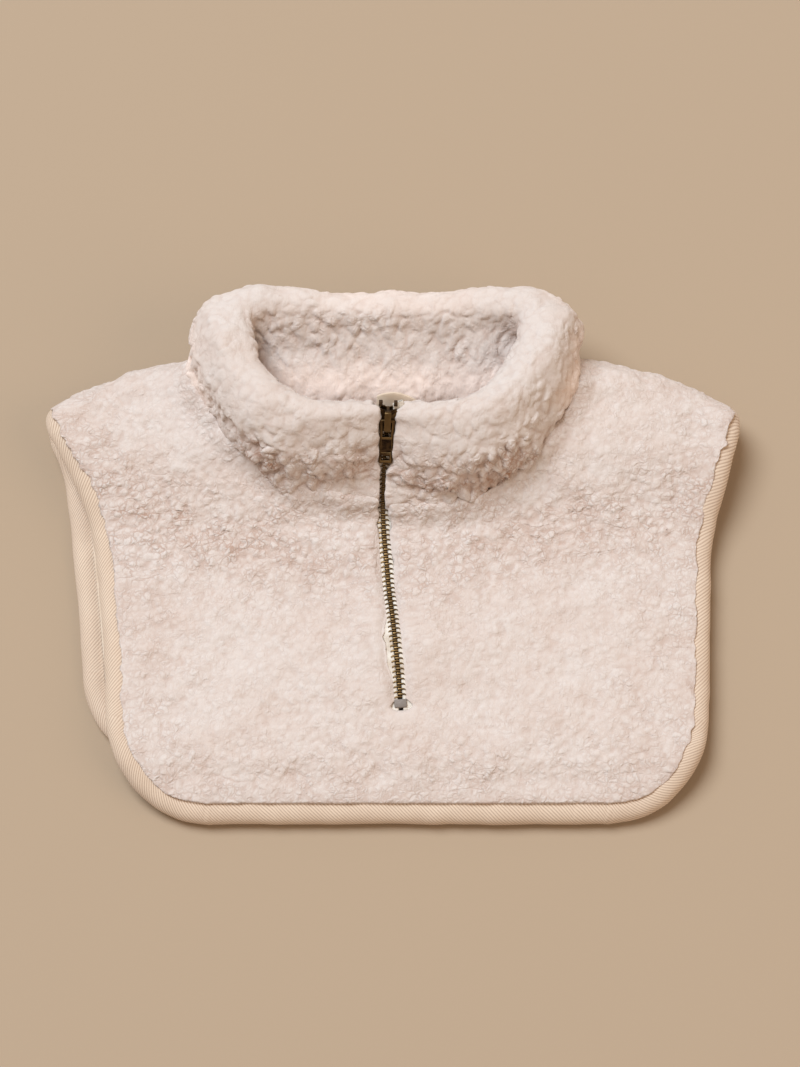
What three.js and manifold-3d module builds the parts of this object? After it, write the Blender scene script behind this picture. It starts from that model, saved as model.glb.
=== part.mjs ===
// Neck warmer: a pull-over bib of deep-pile fleece with a stand collar and a half zip, lying face up.
// Millimetres, +Z up. The back panel lies on z = 0 and the collar points to +Y. The origin is on that
// surface, under the middle.
import * as THREE from "three";
import { mergeVertices } from "three/addons/utils/BufferGeometryUtils.js";
import Module from "manifold-3d";

const wasm = await Module();
wasm.setup();

// Cloth and clearances
const gap = 0.3; // between pieces that are sewn or clamped together
const fleece = 8; // wall of the panels, backing and pile
const hem = 3.6; // the same wall where the binding squeezes it
const liningWall = 1;
const restLevel = 13.9; // middle of the front panel where it lies on the lined back panel
const hemLevel = 4; // and where its edge lies on the surface
const sideDrop = 4; // of the front panel past the right edge of the back panel
const buckle = { x: 2, y: -49, width: 38, length: 31, height: 5 }; // of the front panel under the zip

// Edge binding, a folded tape
const bindingWidth = 11;
const bindingHeight = 8;
const bindingWall = 1.6;

// Zip of size 5
const pitch = 2.54;
const tooth = { long: 1.15, high: 2.6, outer: 2.9, back: 1.7, head: 0.9 };
const tape = { inner: 3.2, outer: 12, topOuter: 6, taper: 9, wall: 0.8 };
const stop = { width: 6.2, long: 4.2, high: 3.2, toEnd: 3.4 }; // at the lower end of the chain
const topStop = { width: 1.8, long: 2.4, out: 1.4, at: 1.6 };
const chainEnd = 8; // the last tooth to the end of the chain's line
const slitHalf = 6.1;
const slitStart = 34; // along the chain, hidden under the collar
const sliderAt = 9.5; // along the chain, from its upper end to the middle of the slider
const openLength = 7; // of the chain above the slider's wedge, where the two rows part
const openHalf = 2.6; // how far each row has moved aside at its upper end
const hingeHigh = 3.6; // pull axis above the middle plane of the chain
// The guard: its two sides from the chain, its length, its height above the zip, its depth behind it
const guard = { left: -6, right: 20, long: 24, rise: 0.5, level: 8, spread: 0.075, wall: 1.2 };
const pullLength = 24;
const pullWidth = 7;
const pullWall = 1.5;

// Outer edges of the two panels along their own length. q is y where the panel lies flat, and goes on
// round the shoulder fold where it does not. The lower corners are rounded by the radii below.
const frontSides = [
  { q: -134, left: -136, right: 152 },
  { q: -60, left: -141, right: 156.5 },
  { q: -20, left: -146, right: 158.5 },
  { q: 5, left: -150.5, right: 160.5 },
  { q: 22, left: -156.5, right: 165 },
  { q: 38, left: -163, right: 169 },
  { q: 57, left: -171, right: 173.5 },
  { q: 68, left: -174, right: 174.5 },
  { q: 80, left: -174.5, right: 174.8 },
];
const backSides = [
  { q: -106, left: -150, right: 141 },
  { q: -60, left: -152.5, right: 145 },
  { q: -14, left: -158, right: 150 },
  { q: 15, left: -162, right: 156 },
  { q: 34, left: -164.5, right: 163 },
  { q: 46, left: -167.5, right: 168 },
  { q: 58, left: -172, right: 172.5 },
  { q: 68, left: -174, right: 174.5 },
  { q: 80, left: -174.5, right: 174.8 },
];
const frontCorner = 46;
const backCorner = 44;

// Shoulder fold, by distance from the middle: its furthest y, and the middle of the front wall on top
const foldRows = [
  { out: 0, y: 102, top: 30 },
  { out: 92, y: 101, top: 30 },
  { out: 120, y: 96.5, top: 28 },
  { out: 142, y: 90, top: 26 },
  { out: 158, y: 82.5, top: 24.5 },
  { out: 175, y: 71, top: 23 },
];

// Collar, from the left side of the zip round the back to its right side: the seam, the crest of the
// rim, the wall and how far the wall swells outwards between them
const collarRows = [
  { x: -10.0, y: 31.0, z: 20.5, crestX: -7.6, crestY: 64.0, crestZ: 62.5, wall: 12.5, swell: 1 },
  { x: -27.0, y: 31.5, z: 20.5, crestX: -24.0, crestY: 63.0, crestZ: 63.5, wall: 16, swell: 4 },
  { x: -45.0, y: 35.5, z: 21.5, crestX: -43.0, crestY: 65.0, crestZ: 64.0, wall: 18.5, swell: 6 },
  { x: -62.0, y: 46.0, z: 23.5, crestX: -59.5, crestY: 74.5, crestZ: 64.0, wall: 22, swell: 8 },
  { x: -76.5, y: 61.0, z: 24.5, crestX: -70.0, crestY: 91.0, crestZ: 62.0, wall: 24, swell: 9 },
  { x: -87.0, y: 79.0, z: 23.0, crestX: -75.5, crestY: 109.0, crestZ: 60.0, wall: 24, swell: 9 },
  { x: -87.5, y: 93.0, z: 12.0, crestX: -73.0, crestY: 122.5, crestZ: 57.0, wall: 22, swell: 7 },
  { x: -70.0, y: 96.5, z: 5.0, crestX: -56.0, crestY: 127.5, crestZ: 55.0, wall: 20, swell: 4 },
  { x: -38.0, y: 96.0, z: 4.5, crestX: -31.0, crestY: 126.0, crestZ: 52.0, wall: 20, swell: 3 },
  { x: -1.0, y: 96.0, z: 4.5, crestX: -1.0, crestY: 126.0, crestZ: 51.0, wall: 20, swell: 3 },
  { x: 36.0, y: 96.0, z: 4.5, crestX: 29.5, crestY: 126.0, crestZ: 52.0, wall: 20, swell: 3 },
  { x: 66.0, y: 96.5, z: 5.0, crestX: 53.0, crestY: 127.0, crestZ: 55.0, wall: 20, swell: 4 },
  { x: 81.5, y: 94.5, z: 12.0, crestX: 68.5, crestY: 121.5, crestZ: 57.5, wall: 22, swell: 7 },
  { x: 81.5, y: 81.0, z: 23.0, crestX: 70.5, crestY: 107.0, crestZ: 60.5, wall: 24, swell: 9 },
  { x: 73.5, y: 62.5, z: 24.5, crestX: 66.5, crestY: 88.0, crestZ: 62.0, wall: 24, swell: 9 },
  { x: 59.5, y: 44.0, z: 23.0, crestX: 56.5, crestY: 72.5, crestZ: 64.0, wall: 22, swell: 8 },
  { x: 42.0, y: 31.0, z: 20.5, crestX: 40.5, crestY: 64.5, crestZ: 64.0, wall: 18.5, swell: 6 },
  { x: 22.0, y: 26.5, z: 19.0, crestX: 20.5, crestY: 63.0, crestZ: 63.5, wall: 16, swell: 4 },
  { x: 1.7, y: 28.0, z: 19.5, crestX: 4.8, crestY: 64.0, crestZ: 62.5, wall: 12.5, swell: 1 },
];

// Middle plane of the zip chain, from its upper end down to the bottom stop
const zipRows = [
  { x: -1.4, y: 63.3, z: 64.2 },
  { x: -1.9, y: 56.0, z: 55.8 },
  { x: -2.8, y: 48.0, z: 46.4 },
  { x: -3.6, y: 40.0, z: 36.8 },
  { x: -4.1, y: 32.2, z: 27.4 },
  { x: -4.3, y: 24.5, z: 20.6 },
  { x: -4.0, y: 16.0, z: 17.6 },
  { x: -3.3, y: 6.0, z: 15.9 },
  { x: -2.2, y: -6.0, z: 15.3 },
  { x: -1.2, y: -18.0, z: 15.4 },
  { x: 0.5, y: -32.0, z: 18.1 },
  { x: 2.1, y: -48.0, z: 20.0 },
  { x: 3.5, y: -63.0, z: 17.9 },
  { x: 4.8, y: -80.0, z: 15.2 },
];

const { lerp, clamp, smoothstep } = THREE.MathUtils;
const vec = (x, y, z) => new THREE.Vector3(x, y, z);
const steps = (n) => Array.from({ length: n + 1 }, (_, i) => i / n);

// A smooth curve through one column of a table whose rows are in order of another column.
function along(rows, order, at, name) {
  const last = rows.length - 1;
  const t = clamp(at, rows[0][order], rows[last][order]);
  let i = 0;
  while (i < last - 1 && t > rows[i + 1][order]) i += 1;
  const slope = (k) => {
    const a = rows[Math.max(k - 1, 0)];
    const b = rows[Math.min(k + 1, last)];
    return (b[name] - a[name]) / (b[order] - a[order]);
  };
  const span = rows[i + 1][order] - rows[i][order];
  const f = (t - rows[i][order]) / span;
  const g = 1 - f;
  return (
    rows[i][name] * (1 + 2 * f) * g * g +
    slope(i) * span * f * g * g +
    rows[i + 1][name] * (1 + 2 * g) * f * f -
    slope(i + 1) * span * g * f * f
  );
}

// Solids and geometry

function solidOf(geometry) {
  const bare = new THREE.BufferGeometry();
  bare.setAttribute("position", geometry.getAttribute("position"));
  bare.setIndex(geometry.getIndex());
  const merged = mergeVertices(bare, 1e-4);
  const vertProperties = new Float32Array(merged.attributes.position.array);
  const triVerts = new Uint32Array(merged.index.array);
  return new wasm.Manifold(new wasm.Mesh({ numProp: 3, vertProperties, triVerts }));
}

function geometryOf(solid) {
  const mesh = solid.getMesh();
  const geometry = new THREE.BufferGeometry();
  geometry.setAttribute("position", new THREE.BufferAttribute(mesh.vertProperties, 3));
  geometry.setIndex(new THREE.BufferAttribute(mesh.triVerts, 1));
  return geometry;
}

function indexedGeometry(points, faces) {
  const geometry = new THREE.BufferGeometry().setFromPoints(points);
  geometry.setIndex(faces);
  return geometry;
}

// The point of a surface at u, v, moved along its normal.
function offsetPoint(pointAt, u, v, distance) {
  const small = 1e-3;
  const du = pointAt(u + small, v).sub(pointAt(u - small, v));
  const dv = pointAt(u, v + small).sub(pointAt(u, v - small));
  return pointAt(u, v).addScaledVector(du.cross(dv).normalize(), distance);
}

// A wall of the given thickness about a surface, over a grid of the surface's two parameters.
function wallSolid(us, vs, pointAt, thicknessAt) {
  const points = [];
  for (const face of [1, -1]) {
    for (const v of vs) {
      for (const u of us) points.push(offsetPoint(pointAt, u, v, (face * thicknessAt(u, v)) / 2));
    }
  }
  const columns = us.length;
  const far = columns * vs.length;
  const at = (i, j) => j * columns + i;
  const faces = [];
  const quad = (a, b, c, d) => faces.push(a, b, c, a, c, d);
  for (let j = 0; j < vs.length - 1; j += 1) {
    for (let i = 0; i < columns - 1; i += 1) {
      quad(at(i, j), at(i + 1, j), at(i + 1, j + 1), at(i, j + 1));
      quad(far + at(i, j), far + at(i, j + 1), far + at(i + 1, j + 1), far + at(i + 1, j));
    }
  }
  const top = vs.length - 1;
  const right = columns - 1;
  for (let i = 0; i < right; i += 1) {
    quad(at(i + 1, 0), at(i, 0), far + at(i, 0), far + at(i + 1, 0));
    quad(at(i, top), at(i + 1, top), far + at(i + 1, top), far + at(i, top));
  }
  for (let j = 0; j < top; j += 1) {
    quad(at(0, j), at(0, j + 1), far + at(0, j + 1), far + at(0, j));
    quad(at(right, j + 1), at(right, j), far + at(right, j), far + at(right, j + 1));
  }
  return solidOf(indexedGeometry(points, faces));
}

// A tube through rings of points, each ring anticlockwise as seen against the way the tube goes.
function tubeSolid(rings, closed) {
  const n = rings[0].length;
  const faces = [];
  const spans = closed ? rings.length : rings.length - 1;
  for (let j = 0; j < spans; j += 1) {
    const here = j * n;
    const next = ((j + 1) % rings.length) * n;
    for (let k = 0; k < n; k += 1) {
      const l = (k + 1) % n;
      faces.push(here + k, here + l, next + l, here + k, next + l, next + k);
    }
  }
  if (!closed) {
    const end = (rings.length - 1) * n;
    for (let k = 1; k < n - 1; k += 1) {
      faces.push(0, k + 1, k, end, end + k, end + k + 1);
    }
  }
  return solidOf(indexedGeometry(rings.flat(), faces));
}

const rectangle = (x0, x1, y0, y1) => [
  [x0, y0],
  [x1, y0],
  [x1, y1],
  [x0, y1],
];

function prismSolid(outline, low, high) {
  const shape = new THREE.Shape(outline.map(([x, y]) => new THREE.Vector2(x, y)));
  const geometry = new THREE.ExtrudeGeometry(shape, { depth: high - low, bevelEnabled: false });
  return solidOf(geometry.translate(0, 0, low));
}

// Panels

function foldAt(x) {
  const out = Math.abs(x);
  const y = along(foldRows, "out", out, "y");
  const top = along(foldRows, "out", out, "top");
  const under = fleece / 2;
  const radius = (top - under) / 2;
  return { start: y - radius, radius, middle: (top + under) / 2, top, under };
}

// Height of the front panel's middle: up to the shoulders, over a buckle beside the zip, and down to
// the surface past the lower and right edges of the back panel.
function frontHeight(x, y) {
  const { top } = foldAt(x);
  const rise = (top - restLevel) * smoothstep(y, 2, 64);
  const besideZip = Math.exp(-(((x - buckle.x) / buckle.width) ** 2));
  const wave = 0.5 + 0.5 * Math.cos(Math.PI * clamp((y - buckle.y) / buckle.length, -1, 1));
  const hang = (restLevel - hemLevel) * smoothstep(-y, 98, 138);
  const alongSide = (1 - smoothstep(y, -10, 50)) * (1 - smoothstep(-y, 70, 130));
  const pastBack = smoothstep(x, 132, 166) * alongSide;
  return restLevel + rise + buckle.height * wave * besideZip - hang - sideDrop * pastBack;
}

function frontPoint(x, q) {
  const fold = foldAt(x);
  if (q <= fold.start) return vec(x, q, frontHeight(x, q));
  const turn = (q - fold.start) / fold.radius;
  return vec(x, fold.start + fold.radius * Math.sin(turn), fold.middle + fold.radius * Math.cos(turn));
}

// The back panel turns up into the fold at the shoulders and stays flat behind the neck.
function backPoint(x, q) {
  const fold = foldAt(x);
  if (q <= fold.start) return vec(x, q, fold.under);
  const turn = (q - fold.start) / fold.radius;
  const shoulder = smoothstep(Math.abs(x), 62, 90);
  const y = lerp(q, fold.start + fold.radius * Math.sin(turn), shoulder);
  return vec(x, y, fold.under + shoulder * fold.radius * (1 - Math.cos(turn)));
}

const seamOf = (x) => foldAt(x).start + (foldAt(x).radius * Math.PI) / 2 - gap / 2;
const shoulderEnd = seamOf(175);

const front = { sides: frontSides, corner: frontCorner, pointAt: frontPoint, outside: 1 };
const back = { sides: backSides, corner: backCorner, pointAt: backPoint, outside: -1 };

// The panel's edge at q, pushed inwards by inset, with its rounded lower corners.
function edgeAt(panel, q, inset) {
  const radius = panel.corner - inset;
  const below = Math.max(0, radius - (q - panel.sides[0].q - inset));
  const rounding = radius - Math.sqrt(Math.max(0, radius ** 2 - below ** 2));
  const edge = (name) => {
    const value = along(panel.sides, "q", q, name);
    const slope = along(panel.sides, "q", q + 1, name) - value;
    return [value, inset * Math.hypot(1, slope) + rounding];
  };
  const [left, inLeft] = edge("left");
  const [right, inRight] = edge("right");
  return { left: left + inLeft, right: right - inRight };
}

// A panel's surface inside that edge: u goes from its left side to its right, v from its lower edge to
// the seam on the shoulder fold.
function panelPoint(panel, inset, u, v) {
  const bottom = panel.sides[0].q + inset;
  const { left, right } = edgeAt(panel, lerp(bottom, shoulderEnd, v), inset);
  const x = lerp(left, right, u);
  return panel.pointAt(x, lerp(bottom, seamOf(x), v));
}

const sideColumns = [0, 0.02, 0.045, 0.09, 0.17, 0.28, 0.4];
const panelColumns = [...sideColumns, 0.5, ...sideColumns.map((u) => 1 - u).reverse()];
const sideSteps = [0.2, 0.4, 0.58, 0.7, 0.8, 0.9, 1];
const foldStart = 0.915;
const panelRows = (panel, inset) => {
  const corner = (panel.corner - inset) / (shoulderEnd - panel.sides[0].q - inset);
  return [
    ...steps(5).map((t) => (1 - Math.cos((t * Math.PI) / 2)) * corner),
    ...sideSteps.map((t) => lerp(corner, foldStart, t)),
    ...steps(3).slice(1).map((t) => lerp(foldStart, 1, t)),
  ];
};

function panelWall(panel, inset, thickness) {
  const pointAt = (u, v) => panelPoint(panel, inset, u, v);
  return wallSolid(panelColumns, panelRows(panel, inset), pointAt, () => thickness);
}

const panelSolid = (panel) => {
  const body = panelWall(panel, bindingWidth + 2 * gap, fleece);
  const tongue = panelWall(panel, bindingWall + gap, hem);
  return body.add(tongue);
};

// Collar, with extra thickness when it serves to cut its seat in the panels

const collarStations = collarRows.map((row, i) => ({ ...row, i }));
const seamWall = 7.5;
const swellShape = (v) => v ** 1.5 * (1 - v) ** 2;

function collarAt(u) {
  const i = u * (collarStations.length - 1);
  const value = (name) => along(collarStations, "i", i, name);
  return {
    seam: vec(value("x"), value("y"), value("z")),
    crest: vec(value("crestX"), value("crestY"), value("crestZ")),
    wall: value("wall"),
    swell: value("swell"),
  };
}

function collarPoint(u, v) {
  const { seam, crest, swell } = collarAt(u);
  const near = 0.01;
  const onward = collarAt(Math.min(u + near, 1)).seam.sub(collarAt(Math.max(u - near, 0)).seam);
  const outward = crest.clone().sub(seam).cross(onward).normalize();
  const bulge = (swell * swellShape(Math.max(v, 0))) / swellShape(3 / 7);
  return seam.clone().lerp(crest, v).addScaledVector(outward, bulge);
}

function collarThickness(u, v) {
  const { seam, crest, wall } = collarAt(u);
  const half = wall / 2;
  const toCrest = (1 - v) * seam.distanceTo(crest);
  const rounding = toCrest < half ? Math.sqrt(1 - ((half - toCrest) / half) ** 2) : 1;
  return Math.max(1.5, lerp(seamWall, wall, smoothstep(v, 0, 0.6)) * rounding);
}

const collarSolid = (extra) => {
  const levels = [-extra / 30, 0.15, 0.32, 0.5, 0.68, 0.82, 0.91, 0.97, 1];
  return wallSolid(steps(36), levels, collarPoint, (u, v) => collarThickness(u, v) + 2 * extra);
};

// Edge binding: its section is drawn from the panel's edge inwards, and outwards from its middle. It
// goes down the left side of the front panel, along its lower edge and up its right side, and comes
// back round the back panel in the same way.
const bindingSection = (() => {
  const half = bindingHeight / 2;
  const slot = half - bindingWall;
  return [
    [bindingWidth, slot],
    [bindingWidth, half - 0.5],
    [bindingWidth * 0.5, half],
    [0, half * 0.5],
    [0, -half * 0.5],
    [bindingWidth * 0.5, -half],
    [bindingWidth, 0.5 - half],
    [bindingWidth, -slot],
    [bindingWall, -slot],
    [bindingWall, slot],
  ];
})();

function bindingRings(panel) {
  const rows = panelRows(panel, 0).map((v, i) => i);
  const places = [
    ...rows.slice(1).reverse().map((row) => [0, row]),
    ...panelColumns.map((u) => [u, 0]),
    ...rows.slice(1).map((row) => [1, row]),
  ];
  return places.map(([u, row]) =>
    bindingSection.map(([inset, out]) => {
      const v = panelRows(panel, inset)[row];
      return offsetPoint((s, t) => panelPoint(panel, inset, s, t), u, v, out * panel.outside);
    }),
  );
}

const bindingSolid = () => {
  const under = bindingRings(back).slice(1, -1).reverse();
  return tubeSolid([...bindingRings(front), ...under], true);
};

// Zip

const zipPoints = zipRows.map(({ x, y, z }) => vec(x, y, z));
const zipCurve = new THREE.CatmullRomCurve3(zipPoints, false, "centripetal");
const zipLength = zipCurve.getLength();

function zipFrame(distance) {
  const t = clamp(distance / zipLength, 0, 1);
  const onward = zipCurve.getTangentAt(t);
  const across = vec(1, 0, 0).addScaledVector(onward, -onward.x).normalize();
  return { at: zipCurve.getPointAt(t), across, up: onward.clone().cross(across), onward };
}

// The two sides part above the slider, where the collar opens.
const parting = (distance) => openHalf * smoothstep(-distance, -openLength, 0);

// A point across, out of and along the chain, for one side of the zip.
function besideChain(side, distance, out, level) {
  const { at, across, up } = zipFrame(distance);
  return at.addScaledVector(across, side * (out + parting(distance))).addScaledVector(up, level);
}

function tapeSolid(side, extra) {
  const half = tape.wall / 2 + extra;
  const rings = steps(26).map((t) => {
    const distance = t * zipLength;
    const inner = tape.inner - extra;
    const outer = lerp(tape.topOuter, tape.outer, smoothstep(distance, 0, tape.taper)) + extra;
    const corners = [[inner, -half], [outer, -half], [outer, half], [inner, half]];
    const ring = corners.map(([out, level]) => besideChain(side, distance, out, level));
    return side > 0 ? ring : ring.reverse();
  });
  return tubeSolid(rings, false);
}

// Moves a solid from the zip's own axes (across, onward up the chain, out of it) to a place along it.
function placedOnZip(solid, distance) {
  const { at, across, up, onward } = zipFrame(distance);
  const place = new THREE.Matrix4().makeBasis(across, onward.clone().negate(), up).setPosition(at);
  return solid.transform(place.elements);
}

function boxSolid(width, length, height, x, y, z) {
  return solidOf(new THREE.BoxGeometry(width, length, height).translate(x, y, z));
}

// One row of teeth, a comb whose back grips the tape
function teethSolid(side) {
  const first = sliderAt + 1;
  const offset = side > 0 ? pitch / 2 : 0;
  const count = Math.floor((zipLength - chainEnd - first - offset) / pitch);
  const edge = [];
  for (let i = 0; i <= count; i += 1) {
    const middle = first + offset + i * pitch;
    edge.push([tooth.back, middle - tooth.long / 2], [-tooth.head, middle - tooth.long / 2]);
    edge.push([-tooth.head, middle + tooth.long / 2], [tooth.back, middle + tooth.long / 2]);
  }
  const rings = [];
  for (const [reach, distance] of edge) {
    const half = tooth.high / 2;
    const corners = [[reach, -half], [tooth.outer, -half], [tooth.outer, half], [reach, half]];
    const ring = corners.map(([out, level]) => besideChain(side, distance, out, level));
    rings.push(side > 0 ? ring : ring.reverse());
  }
  return tubeSolid(rings, false);
}

// Guard: a flap of cloth behind the upper end of the zip, against the collar's inner side
function guardPoint(u, v) {
  const { at, across, up, onward } = zipFrame(v * guard.long);
  const aside = lerp(guard.left, guard.right, u);
  const level = guard.level + guard.spread * Math.abs(aside);
  const rise = guard.rise * (1 - v);
  return at.addScaledVector(across, aside).addScaledVector(up, -level).addScaledVector(onward, -rise);
}

const guardSolid = () => wallSolid(steps(5), steps(3), guardPoint, () => guard.wall);

// Slider: two plates with side flanges, joined by the wedge that parts the chain, and a bridge on top
function sliderSolid() {
  const plate = { low: 1.75, wall: 0.9 };
  const half = [
    [0, -5.6],
    [3.7, -5.6],
    [3.9, -4.8],
    [4.0, -1.5],
    [4.75, 2.0],
    [4.85, 4.4],
    [4.0, 5.6],
    [1.7, 5.4],
    [0, 4.4],
  ];
  const mirrored = half.slice(1, -1).reverse().map(([x, y]) => [-x, y]);
  const outline = [...half, ...mirrored];
  const level = plate.low + plate.wall;
  const upper = prismSolid(outline, plate.low, level);
  const lower = prismSolid(outline, -level, -plate.low);
  const diamond = [[0, 0.4], [1.2, 3.2], [0.8, 5.0], [-0.8, 5.0], [-1.2, 3.2]];
  const wedge = prismSolid(diamond, -level, level);
  const flange = (side, low, high) => {
    const wall = 0.7;
    const rail = half.slice(2, 7);
    const inner = rail.map(([x, y]) => [x - wall, y]).reverse();
    const points = [...rail, ...inner].map(([x, y]) => [side * x, y]);
    return prismSolid(side > 0 ? points : points.reverse(), low, high);
  };
  const flanges = [-1, 1].flatMap((side) => [
    flange(side, 0.8, level - 0.1),
    flange(side, 0.1 - level, -0.8),
  ]);
  const bridge = { half: 5.3, foot: 1.1, rise: 2.05, wall: 1.05, width: 3.2 };
  const crown = level + bridge.rise;
  const profile = new THREE.Shape();
  profile.moveTo(-bridge.half, level - 0.2);
  profile.lineTo(-bridge.half, crown);
  profile.quadraticCurveTo(-bridge.half, crown + bridge.wall, 1 - bridge.half, crown + bridge.wall);
  profile.lineTo(bridge.half - 1, crown + bridge.wall);
  profile.quadraticCurveTo(bridge.half, crown + bridge.wall, bridge.half, crown);
  profile.lineTo(bridge.half, level - 0.2);
  profile.lineTo(bridge.half - bridge.foot, level - 0.2);
  profile.lineTo(bridge.half - bridge.foot, crown);
  profile.lineTo(bridge.foot - bridge.half, crown);
  profile.lineTo(bridge.foot - bridge.half, level - 0.2);
  const extrusion = { depth: bridge.width, bevelEnabled: false, curveSegments: 3 };
  const arch = new THREE.ExtrudeGeometry(profile, extrusion);
  // From the sheet that it is drawn on to along the chain, up, and across
  arch.applyMatrix4(new THREE.Matrix4().makeBasis(vec(0, 1, 0), vec(0, 0, 1), vec(1, 0, 0)));
  const bridgeSolid = solidOf(arch.translate(-bridge.width / 2, 0, 0));
  return wasm.Manifold.union([upper, lower, wedge, ...flanges, bridgeSolid]);
}

// Pull: a plate with a long eye round the bridge, a shallow panel and a small window at its end
function pullSolid() {
  const half = pullWidth / 2;
  const bar = 0.7;
  const end = bar - pullLength;
  const corner = 1;
  const outline = new THREE.Shape();
  outline.moveTo(corner - half, bar);
  outline.lineTo(half - corner, bar);
  outline.quadraticCurveTo(half, bar, half, bar - corner);
  outline.lineTo(half, end + corner);
  outline.quadraticCurveTo(half, end, half - corner, end);
  outline.lineTo(corner - half, end);
  outline.quadraticCurveTo(-half, end, -half, end + corner);
  outline.lineTo(-half, bar - corner);
  outline.quadraticCurveTo(-half, bar, corner - half, bar);
  const hole = (width, low, high) => {
    const corners = rectangle(-width / 2, width / 2, low, high);
    return new THREE.Path(corners.map(([x, y]) => new THREE.Vector2(x, y)));
  };
  const eye = { width: 4.1, long: 7.9 };
  const port = { width: 3.8, long: 2.7, toEnd: 1.9 };
  const portLow = end + port.toEnd;
  outline.holes.push(
    hole(eye.width, -bar - eye.long, -bar),
    hole(port.width, portLow, portLow + port.long),
  );
  const bevel = 0.25;
  const plate = new THREE.ExtrudeGeometry(outline, {
    depth: pullWall - 2 * bevel,
    bevelSize: bevel,
    bevelThickness: bevel,
    bevelOffset: -bevel,
    bevelSegments: 1,
    curveSegments: 3,
  });
  const solid = solidOf(plate.translate(0, 0, hingeHigh - pullWall / 2 + bevel));
  const panel = { width: 5, long: 7.3, deep: 0.3, toEnd: 6 };
  const middle = end + panel.toEnd + panel.long / 2;
  const recess = boxSolid(panel.width, panel.long, 2 * panel.deep, 0, middle, hingeHigh + pullWall / 2);
  return solid.subtract(recess);
}

// Cutters, which reach past the pieces below and above, and the finished pieces

const neckOutline = steps(48).map((t) => {
  const { seam } = collarAt(t);
  return [seam.x, seam.y];
});
const past = { below: -5, above: 90 };
const neckCutter = prismSolid(neckOutline.reverse(), past.below, past.above);
const slitCutter = (() => {
  const places = steps(16).map((t) => zipFrame(lerp(slitStart, zipLength, t)).at);
  const left = places.map(({ x, y }) => [x - slitHalf, y]);
  const right = places.map(({ x, y }) => [x + slitHalf, y]);
  return prismSolid([...left, ...right.reverse()], past.below, past.above);
})();
// What the panels have behind the collar, down to just under its seam
const nape = rectangle(-89.5, 83.5, 93, 153);
const napeLow = -2;
const napeCutter = prismSolid(nape, napeLow, past.above);
const collarSeat = collarSolid(gap);
const tapeSeats = [-1, 1].map((side) => tapeSolid(side, gap));

const frontCutters = [neckCutter, napeCutter, collarSeat, slitCutter, ...tapeSeats];
const frontPanel = wasm.Manifold.difference([panelSolid(front), ...frontCutters]);
const backPanel = wasm.Manifold.difference([panelSolid(back), napeCutter, collarSeat]);
const collar = wasm.Manifold.difference([collarSolid(0), ...tapeSeats]);

const lining = (() => {
  const inset = bindingWidth + 2 * gap;
  const bottom = back.sides[0].q + inset;
  const low = fleece + gap;
  const corner = backCorner - inset;
  const rows = [...steps(6).map((t) => bottom + corner * t * t), -30, 5, 30, 45, 52];
  const left = rows.map((q) => [edgeAt(back, q, inset).left, q]);
  const right = rows.map((q) => [edgeAt(back, q, inset).right, q]);
  // Round under the shoulder folds, and across below the collar's seam
  const upper = [[132, 64], [105, 72], [80, 76], [40, 78]];
  const mirrored = upper.map(([x, y]) => [-x, y]).reverse();
  const outline = [...left.reverse(), ...right, ...upper, ...mirrored];
  return prismSolid(outline, low, low + liningWall).subtract(collarSeat);
})();

const topStopSolid = (side) => {
  const x = side * (parting(topStop.at) + topStop.out);
  return placedOnZip(boxSolid(topStop.width, topStop.long, tooth.high, x, 0, 0), topStop.at);
};

const colours = {
  fleece: { color: 0xe6d8d0, roughness: 0.95, metalness: 0 },
  lining: { color: 0xeee2d2, roughness: 0.9, metalness: 0 },
  binding: { color: 0xdcc4a4, roughness: 0.85, metalness: 0 },
  tape: { color: 0xf1ebe0, roughness: 0.85, metalness: 0 },
  brass: { color: 0x6b5636, roughness: 0.38, metalness: 1 },
  steel: { color: 0x8b8681, roughness: 0.45, metalness: 1 },
};

const garment = new THREE.Group();

function addMesh(parent, name, colour, solid) {
  const mesh = new THREE.Mesh(geometryOf(solid), new THREE.MeshStandardMaterial(colours[colour]));
  mesh.name = name;
  parent.add(mesh);
  return mesh;
}

// A piece modelled in the zip's own axes, set in its place along the chain
function addOnZip(name, colour, solid, distance) {
  const { at, across, up, onward } = zipFrame(distance);
  const mesh = addMesh(garment, name, colour, solid);
  mesh.quaternion.setFromRotationMatrix(new THREE.Matrix4().makeBasis(across, onward.negate(), up));
  mesh.position.copy(at);
}

addMesh(garment, "front_panel", "fleece", frontPanel);
addMesh(garment, "back_panel", "fleece", backPanel);
addMesh(garment, "back_lining", "lining", lining);
addMesh(garment, "collar", "fleece", collar);
addMesh(garment, "edge_binding", "binding", bindingSolid());
addMesh(garment, "zip_guard", "lining", guardSolid());
for (const [name, side] of [["left", -1], ["right", 1]]) {
  addMesh(garment, `zip_tape_${name}`, "tape", tapeSolid(side, 0));
  addMesh(garment, `zip_teeth_${name}`, "brass", teethSolid(side));
  addMesh(garment, `zip_top_stop_${name}`, "brass", topStopSolid(side));
}
addOnZip("zip_slider", "brass", sliderSolid(), sliderAt);
addOnZip("zip_pull", "brass", pullSolid(), sliderAt);
const stopSolid = boxSolid(stop.width, stop.long, stop.high, 0, 0, 0);
addOnZip("zip_bottom_stop", "steel", stopSolid, zipLength - stop.toEnd);

export default garment;
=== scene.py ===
import math

import bmesh
import bpy
import numpy as np
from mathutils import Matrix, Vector, kdtree
from mathutils.bvhtree import BVHTree


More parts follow.
